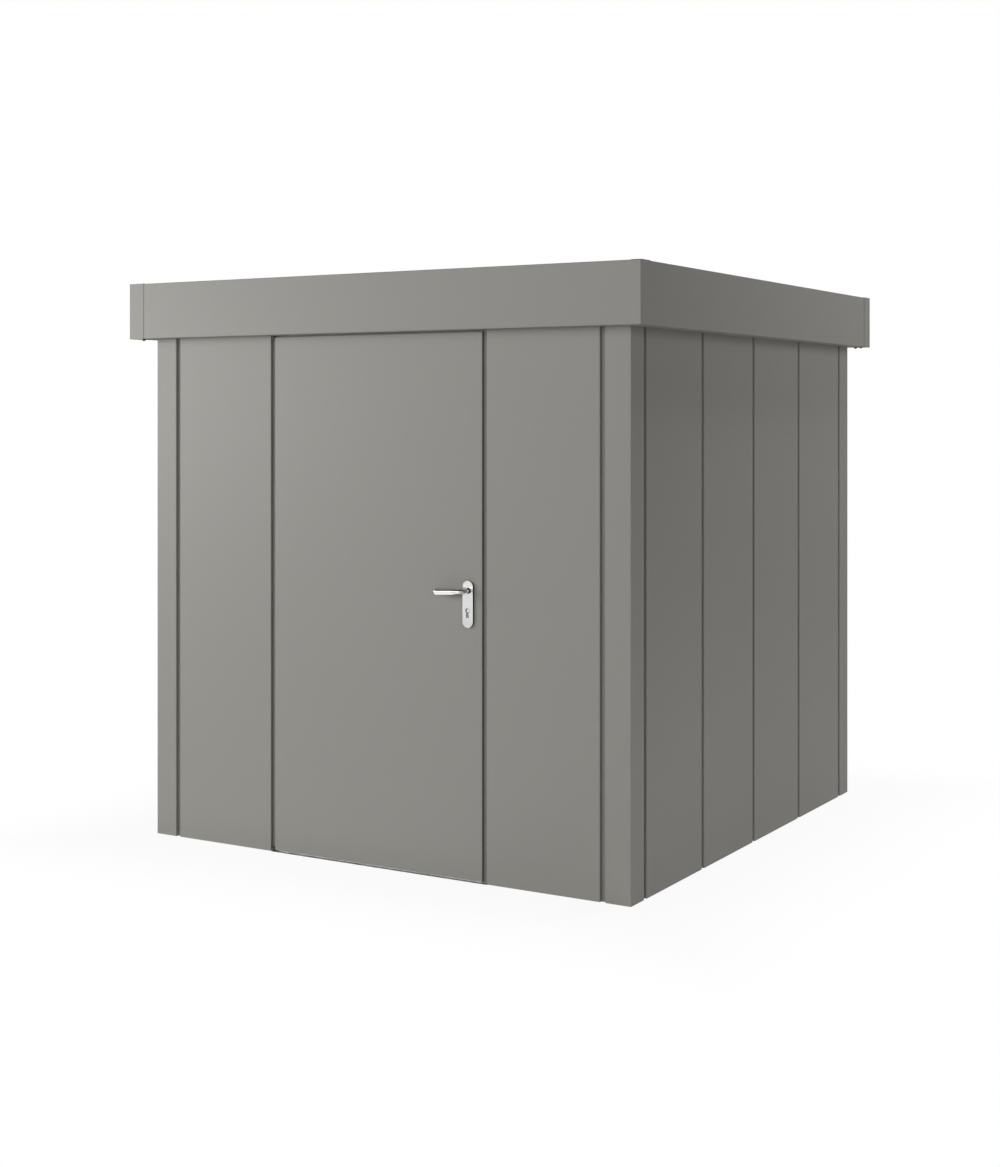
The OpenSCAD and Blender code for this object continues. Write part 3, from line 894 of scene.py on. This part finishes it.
@dataclass
class LockSet:
    """Lock case, front plate, cylinder and back plates, with the key plugs and the bolts."""

    palette: Palette
    plug_radius: float = 0.0062
    plug_height: float = 0.0012
    plug_steps: int = 40
    slot_half: Pair = (0.0009, 0.0042)
    slot_power: float = 6.0
    bolt_half: Pair = (0.005, 0.014)
    bolt_power: float = 8.0
    bolt_steps: int = 32
    bolt_height: float = 0.003
    bolt_fillet: float = 0.001
    screw: ScrewHead = ScrewHead(radius=0.0042, height=0.0012, washer=0.0, sides=16)
    screw_inset: float = 0.012

    def dress(self) -> None:
        """Polishes the plates, gives the cylinder a dark steel as painted shade and leaves the case in
        zinc.
        """
        self.palette.dress(PLATE_STEEL, "plate_")
        self.palette.dress(POLISHED_STEEL, "lock_front_plate")
        self.palette.dress(SHADED_LOCK_STEEL, "lock_cylinder")
        self.palette.dress(ZINC_COAT, "lock_case")

    def key_plug(self) -> np.ndarray:
        """Key plug about the Z axis: a rim wall, then a flat face drawn in to the edge of the key slot.

        Returns:
            Grid of points from the rim's foot to the foot of the slot's wall.
        """
        rim = rounded_outline(self.plug_radius, self.plug_radius, 2.0, self.plug_steps)
        slot = rounded_outline(*self.slot_half, self.slot_power, self.plug_steps)
        flat = np.stack([rim, rim, 0.5 * (rim + slot), slot, slot])
        level = np.array([0.0, 1.0, 1.0, 1.0, 0.0]) * self.plug_height
        return np.concatenate([flat, np.repeat(level[:, None, None], self.plug_steps, 1)], -1)

    def build(self) -> None:
        """Sets a key plug on each end of the cylinder, and the bolts and screws on the front plate."""
        low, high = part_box("lock_cylinder")
        middle_x = (low.x + high.x) / 2.0
        plug_z = high.z - (high.x - low.x) / 2.0
        plugs = Patchwork()
        for y, out in ((low.y, -1.0), (high.y, 1.0)):
            plugs.lay(placed(self.key_plug(), (middle_x, y, plug_z), (0.0, out, 0.0)), ring=True)
        add_piece("key_plugs", plugs, Body.DOOR, self.palette.of(SATIN_NICKEL))
        low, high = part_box("lock_front_plate")
        middle_y = (low.y + high.y) / 2.0
        nose = rounded_outline(*self.bolt_half, self.bolt_power, self.bolt_steps)
        bolt = pad(nose, self.bolt_height, self.bolt_fillet)
        screw = self.screw.sheet()
        bolts = Patchwork()
        for sheet, z in ((bolt, spindle_point()[2]), (bolt, plug_z),
                         (screw, low.z + self.screw_inset), (screw, high.z - self.screw_inset)):
            bolts.lay(placed(sheet, (high.x, middle_y, z), RIGHT), ring=True)
        add_piece("lock_bolts", bolts, Body.DOOR, self.palette.of(SATIN_NICKEL))


@dataclass
class LeverPair:
    """Outer and inner lever: a round neck, a bend, a thicker grip and a short return at the tip."""

    palette: Palette
    neck_radius: float = 0.009
    grip_radius: float = 0.0115
    reach: float = 0.132
    out: float = 0.05
    taper: float = 0.034
    droop: float = math.radians(3.0)
    bend: float = 0.014
    stub_room: float = 0.008
    seat: float = 0.006
    end_round: float = 0.003
    end_steps: int = 7
    neck_power: float = 2.0
    grip_power: float = 2.8
    grip_lean: float = math.radians(22.0)
    sides: int = 48
    bend_steps: int = 14
    # Black collar at the neck's foot, a piece of painted shade and painted reflection.
    shade_collar_radius: float = 0.0105
    shade_collar_height: float = 0.006
    shade_collar_round: float = 0.0007
    shade_collar_gap: float = 0.0002

    def path(self) -> tuple[np.ndarray, np.ndarray, np.ndarray, np.ndarray]:
        """Middle line of a lever in its own plane.

        The line runs out from the plate, turns a quarter circle, runs along the grip, turns
        back a quarter circle and ends in a short stub. The radius widens from the neck to the
        grip by a smooth step, and falls along a quarter circle at the tip. By the same step the
        section goes from a circle at the neck to a flatter form at the grip.

        Returns:
            Rows of distance along the grip and distance out, the heading, the radius, and the
            share of the step.
        """
        tip, level = self.reach - self.grip_radius, self.out - self.grip_radius
        arcs = [np.array([x, level - self.bend]) + self.bend * np.stack([np.cos(a), np.sin(a)], -1)
                for x, a in ((self.bend, np.linspace(np.pi, np.pi / 2.0, self.bend_steps)),
                             (tip - self.bend, np.linspace(np.pi / 2.0, 0.0, self.bend_steps)))]
        along = np.linspace(self.bend, tip - self.bend, 2 * self.bend_steps)[1:-1]
        straight = np.stack([along, np.full_like(along, level)], -1)
        edge = quarter_turn(self.end_steps)
        foot = self.stub_room + self.end_round * (1.0 - np.sin(edge))
        stub = np.stack([np.full_like(foot, tip), foot], -1)
        line = np.concatenate([[[0.0, -self.seat]], arcs[0], straight, arcs[1], stub])
        quarter = np.linspace(np.pi / 2.0, 0.0, self.bend_steps)
        heading = np.concatenate([[np.pi / 2.0], quarter, np.zeros(len(along)), quarter - np.pi / 2.0,
                                  np.full(len(edge), -np.pi / 2.0)])
        share = np.clip((line[:, 0] - self.bend) / self.taper, 0.0, 1.0)
        step = share ** 2 * (3.0 - 2.0 * share)
        radius = self.neck_radius + (self.grip_radius - self.neck_radius) * step
        radius[-len(edge):] -= self.end_round * (1.0 - np.cos(edge))
        return line, heading, radius, step

    def sheet(self) -> np.ndarray:
        """Carries the section along the path: the path plus a reach times cosine across and sine up.

        The reach is the radius over the power's root of cosine and sine, each to that power. By
        the same step the section leans, so that the grip's flat side looks a little down.

        Returns:
            Grid of points as distance along, distance out and height, closed at both ends.
        """
        line, heading, radius, step = self.path()
        angle = full_turn(self.sides)
        power = self.neck_power + (self.grip_power - self.neck_power) * step[:, None]
        bulge = np.abs(np.cos(angle)) ** power + np.abs(np.sin(angle)) ** power
        reach = radius[:, None] * bulge ** (-1.0 / power)
        turn = angle - self.grip_lean * step[:, None]
        across = np.stack([-np.sin(heading), np.cos(heading)], -1)
        flat = line[:, None] + (reach * np.cos(turn))[..., None] * across[:, None]
        tube = np.concatenate([flat, (reach * np.sin(turn))[..., None]], -1)
        ends = [np.repeat(np.append(line[row], 0.0)[None, None], self.sides, 1) for row in (0, -1)]
        return np.concatenate([ends[0], tube, ends[1]])

    def shade_collar(self) -> np.ndarray:
        """Thin ring about the Z axis with a bevelled outer edge: its profile turned round the axis.

        Returns:
            Grid of points, whose last row joins its first.
        """
        inner, outer = self.neck_radius + self.shade_collar_gap, self.shade_collar_radius
        top, bevel = self.shade_collar_height, self.shade_collar_round
        profile = [[inner, 0.0], [inner, top], [outer - bevel, top], [outer, top - bevel], [outer, 0.0]]
        return turned(np.array(profile), self.sides)

    def build(self) -> None:
        """Bends both levers, lets them stand for their CAD nodes and sets a black collar round each neck
        as painted shade and painted reflection.
        """
        spindle = spindle_point()
        sheet = self.sheet()
        along, out, rise = sheet[..., 0], sheet[..., 1], sheet[..., 2]
        x = spindle[0] - along * math.cos(self.droop) - rise * math.sin(self.droop)
        z = spindle[2] - along * math.sin(self.droop) + rise * math.cos(self.droop)
        shade_collars = Patchwork()
        for node, face, sign in (("lever_outside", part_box("plate_outside")[0].y, -1.0),
                                 ("lever_inside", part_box("plate_inside")[1].y, 1.0)):
            work = Patchwork()
            work.lay(np.stack([x, face + sign * out, z], -1), ring=True)
            made = add_piece(node.replace("lever", "lever_bar"), work, Body.HANDLE,
                             self.palette.of(POLISHED_STEEL))
            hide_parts(node)
            place = (spindle[0], face, spindle[2])
            shade_collars.lay(placed(self.shade_collar(), place, (0.0, sign, 0.0)), ring=True, loop=True)
        # Black collars at the necks: painted shade and painted reflection at the foot of each lever.
        add_piece("neck_shade_collars", shade_collars, Body.DOOR, self.palette.of(RUBBER_AND_SHADE_BLACK))

    def dress(self) -> None:
        """Polishes the CAD levers too, which the bars stand for."""
        self.palette.dress(POLISHED_STEEL, "lever_")


# Studio


@dataclass(frozen=True)
class Lamp:
    """Square soft light, which reflections, matte surfaces or both can see."""

    name: str
    place: Vec3
    aim: Vec3
    size: float
    watts: float
    mirrored: bool = True
    matte: bool = True
    spread_deg: float = 180.0

    def hang(self) -> None:
        """Hangs the light and turns it to its aim."""
        data = bpy.data.lights.new(self.name, "AREA")
        data.shape = "SQUARE"
        data.size = self.size
        data.energy = self.watts
        data.spread = math.radians(self.spread_deg)
        made = add_object(self.name, data)
        made.visible_camera = False
        made.visible_glossy = self.mirrored
        made.visible_diffuse = self.matte
        made.location = self.place
        made.rotation_euler = (Vector(self.aim) - Vector(self.place)).to_track_quat("-Z", "Y").to_euler()
        LOG.info("lamp %s: %.1f W", self.name, self.watts)


@dataclass(frozen=True)
class AirBand:
    """A soft patch of light in the air: a share by bearing times a share by height, times a strength.

    A direction counts fully where its part along toward reaches span's second value, and
    where its height stays under top's first value; it counts nothing at the other ends.
    """

    toward: Vec3
    span: Pair
    top: Pair
    strength: float

    def level(self, bench: NodeBench, way: Socket) -> Socket:
        """Adds the nodes of the patch.

        Args:
            bench: bench on the world's node tree.
            way: direction of the ray.

        Returns:
            Strength of the patch in that direction.
        """
        facing = bench.ramp(bench.along(way, self.toward), self.span, smooth=True)
        low = bench.ramp(bench.height(way), self.top[::-1], (0.0, self.strength), smooth=True)
        return bench.worked("MULTIPLY", facing, low)


LAMPS = (
    Lamp("key_light", (-3.0, -3.4, 1.9), (0.0, -1.0, 1.4), 1.0, 46.0),
    Lamp("far_fill", (3.0, 4.0, 2.6), (1.0, 1.0, 1.2), 1.5, 33.0, mirrored=False),
    Lamp("side_fill", (4.5, 1.8, 3.2), (1.07, 0.5, 1.2), 1.4, 30.5, mirrored=False),
    Lamp("roof_fill", (2.0, 0.6, 6.0), (1.15, 0.3, 2.1), 0.6, 65.0, mirrored=False),
    Lamp("deck_fill", (0.0, 0.0, 4.2), (0.0, 0.0, 2.2), 1.9, 24.0, mirrored=False, spread_deg=24.0),
    Lamp("back_fill", (-1.2, 4.6, 1.7), (-0.1, 1.07, 1.2), 1.4, 13.0, mirrored=False, spread_deg=70.0),
    Lamp("foot_fill", (2.2, -0.9, 0.1), (1.07, -0.9, 0.1), 0.4, 1.3, mirrored=False),
    Lamp("floor_card", (-0.6, -2.2, 0.02), (-0.6, -2.2, 1.0), 2.0, 11.0, matte=False),
    Lamp("front_card", (-3.0, -6.5, 0.7), (0.415, -1.08, 1.05), 3.2, 9.5, matte=False))
BANDS = (
    AirBand((-0.7, -0.7, 0.0), (0.3, 0.97), (0.1, 0.6), 1.59),
    AirBand((0.0, -1.0, 0.0), (0.3, 0.95), (0.0, 0.3), 1.24),
    AirBand((0.0, -1.0, 0.0), (0.0, 0.9), (0.1, 0.6), 0.93))


@dataclass
class Studio:
    """Pale floor, soft lights, white surroundings and the camera of the photograph."""

    effects: Effects
    air_strength: float = 0.05
    floor_glow: float = 0.15
    floor_half: float = 40.0
    floor_drop: float = 0.0005
    wall_span: Pair = (1.0, 1.07)
    fade_span: Pair = (1.1, 1.9)
    fade_start: float = 0.93
    image_px: Pair = (1000.0, 1167.0)
    focal_px: float = 1759.0
    axis_px: Pair = (536.0, 416.6)
    eye: Vec3 = (3.811, -6.4685, 1.6867)
    turn_deg: float = 30.0
    sensor_mm: float = 36.0

    def lay_floor(self) -> None:
        """Lays the floor just under the shed: a square grid of three points by three."""
        edge = np.linspace(-self.floor_half, self.floor_half, 3)
        x, y = np.meshgrid(edge, edge)
        work = Patchwork()
        work.lay(np.stack([x, y, np.full_like(x, -self.floor_drop)], -1))
        made = add_object("floor", work.mesh("floor"))
        material = PALE_FLOOR.material(self.effects)
        self.fade_out(material.node_tree)
        material.cycles.emission_sampling = "NONE"
        made.data.materials.append(material)

    def fade_out(self, tree: Tree) -> None:
        """Lets the floor outside the walls show as plain white, and lights the shed from all of it.

        The share of white is a smooth step from 0 to 1 under the walls, times one from
        fade_start to 1 farther out. It counts for camera rays alone, and the glow for the rest.

        Args:
            tree: node tree of the floor's material.
        """
        bench = NodeBench(tree)
        ahead = bench.add("ShaderNodeVectorMath", {0: bench.object_point()}, operation="ABSOLUTE")
        sides = bench.add("ShaderNodeSeparateXYZ", {"Vector": ahead.outputs["Vector"]}).outputs
        away = bench.worked("MAXIMUM", sides["X"], sides["Y"])
        outside = bench.ramp(away, self.wall_span, smooth=True)
        white_share = bench.ramp(away, self.fade_span, (self.fade_start, 1.0), smooth=True)
        seen = bench.add("ShaderNodeLightPath").outputs["Is Camera Ray"]
        shown = bench.worked("MULTIPLY", bench.worked("MULTIPLY", outside, white_share), seen)
        white = bench.add("ShaderNodeEmission", {"Color": WHITE, "Strength": 1.0})
        put = next(node for node in tree.nodes if node.type == "OUTPUT_MATERIAL").inputs["Surface"]
        mix = bench.add("ShaderNodeMixShader", {0: shown, 1: put.links[0].from_socket,
                                                2: white.outputs["Emission"]})
        level = bench.worked("MULTIPLY_ADD", seen, -self.floor_glow, self.floor_glow)
        glow = bench.add("ShaderNodeEmission", {"Color": WHITE, "Strength": level})
        both = bench.add("ShaderNodeAddShader", {0: mix.outputs["Shader"], 1: glow.outputs["Emission"]})
        tree.links.new(both.outputs["Shader"], put)

    def fill_air(self) -> None:
        """White surroundings for the camera; as light, a dim air and the soft patches."""
        world = bpy.data.worlds.new("studio_air")
        bpy.context.scene.world = world
        world.use_nodes = True
        world.node_tree.nodes.clear()
        bench = NodeBench(world.node_tree)
        way = bench.add("ShaderNodeTexCoord").outputs["Generated"]
        level = self.air_strength
        for band in BANDS:
            level = bench.worked("ADD", level, band.level(bench, way))
        white = bench.add("ShaderNodeBackground", {"Color": WHITE, "Strength": 1.0})
        lit = bench.add("ShaderNodeBackground", {"Color": WHITE, "Strength": level})
        seen = bench.add("ShaderNodeLightPath").outputs["Is Camera Ray"]
        mix = bench.add("ShaderNodeMixShader", {0: seen, 1: lit.outputs["Background"],
                                                2: white.outputs["Background"]})
        bench.add("ShaderNodeOutputWorld", {"Surface": mix.outputs["Shader"]})

    def set_camera(self) -> None:
        """Sets up the level camera of the photograph, shifted so that its axis falls on axis_px."""
        data = bpy.data.cameras.new("photo_camera")
        width, height = self.image_px
        data.sensor_width = self.sensor_mm
        data.lens = self.focal_px * self.sensor_mm / height
        data.shift_x = (width / 2.0 - self.axis_px[0]) / height
        data.shift_y = (self.axis_px[1] - height / 2.0) / height
        made = add_object("photo_camera", data)
        made.location = self.eye
        made.rotation_euler = (math.pi / 2.0, 0.0, math.radians(self.turn_deg))
        bpy.context.scene.camera = made

    def build(self) -> None:
        """Sets up the whole studio."""
        bpy.context.scene.view_settings.view_transform = "Standard"
        self.lay_floor()
        self.fill_air()
        self.set_camera()
        for lamp in LAMPS:
            lamp.hang()


def main() -> None:
    """Builds the sub-assemblies in order, then the studio."""
    logging.basicConfig(level=logging.INFO, format="%(name)s: %(message)s")
    palette = Palette()
    DoorLeaf(palette).dress()
    for kind in (WallShell, RoofEdge, RoofDeck, DoorFrame, LockSet, LeverPair):
        assembly = kind(palette)
        assembly.dress()
        assembly.build()
    Studio(palette.effects).build()


if __name__ == "__main__":
    main()
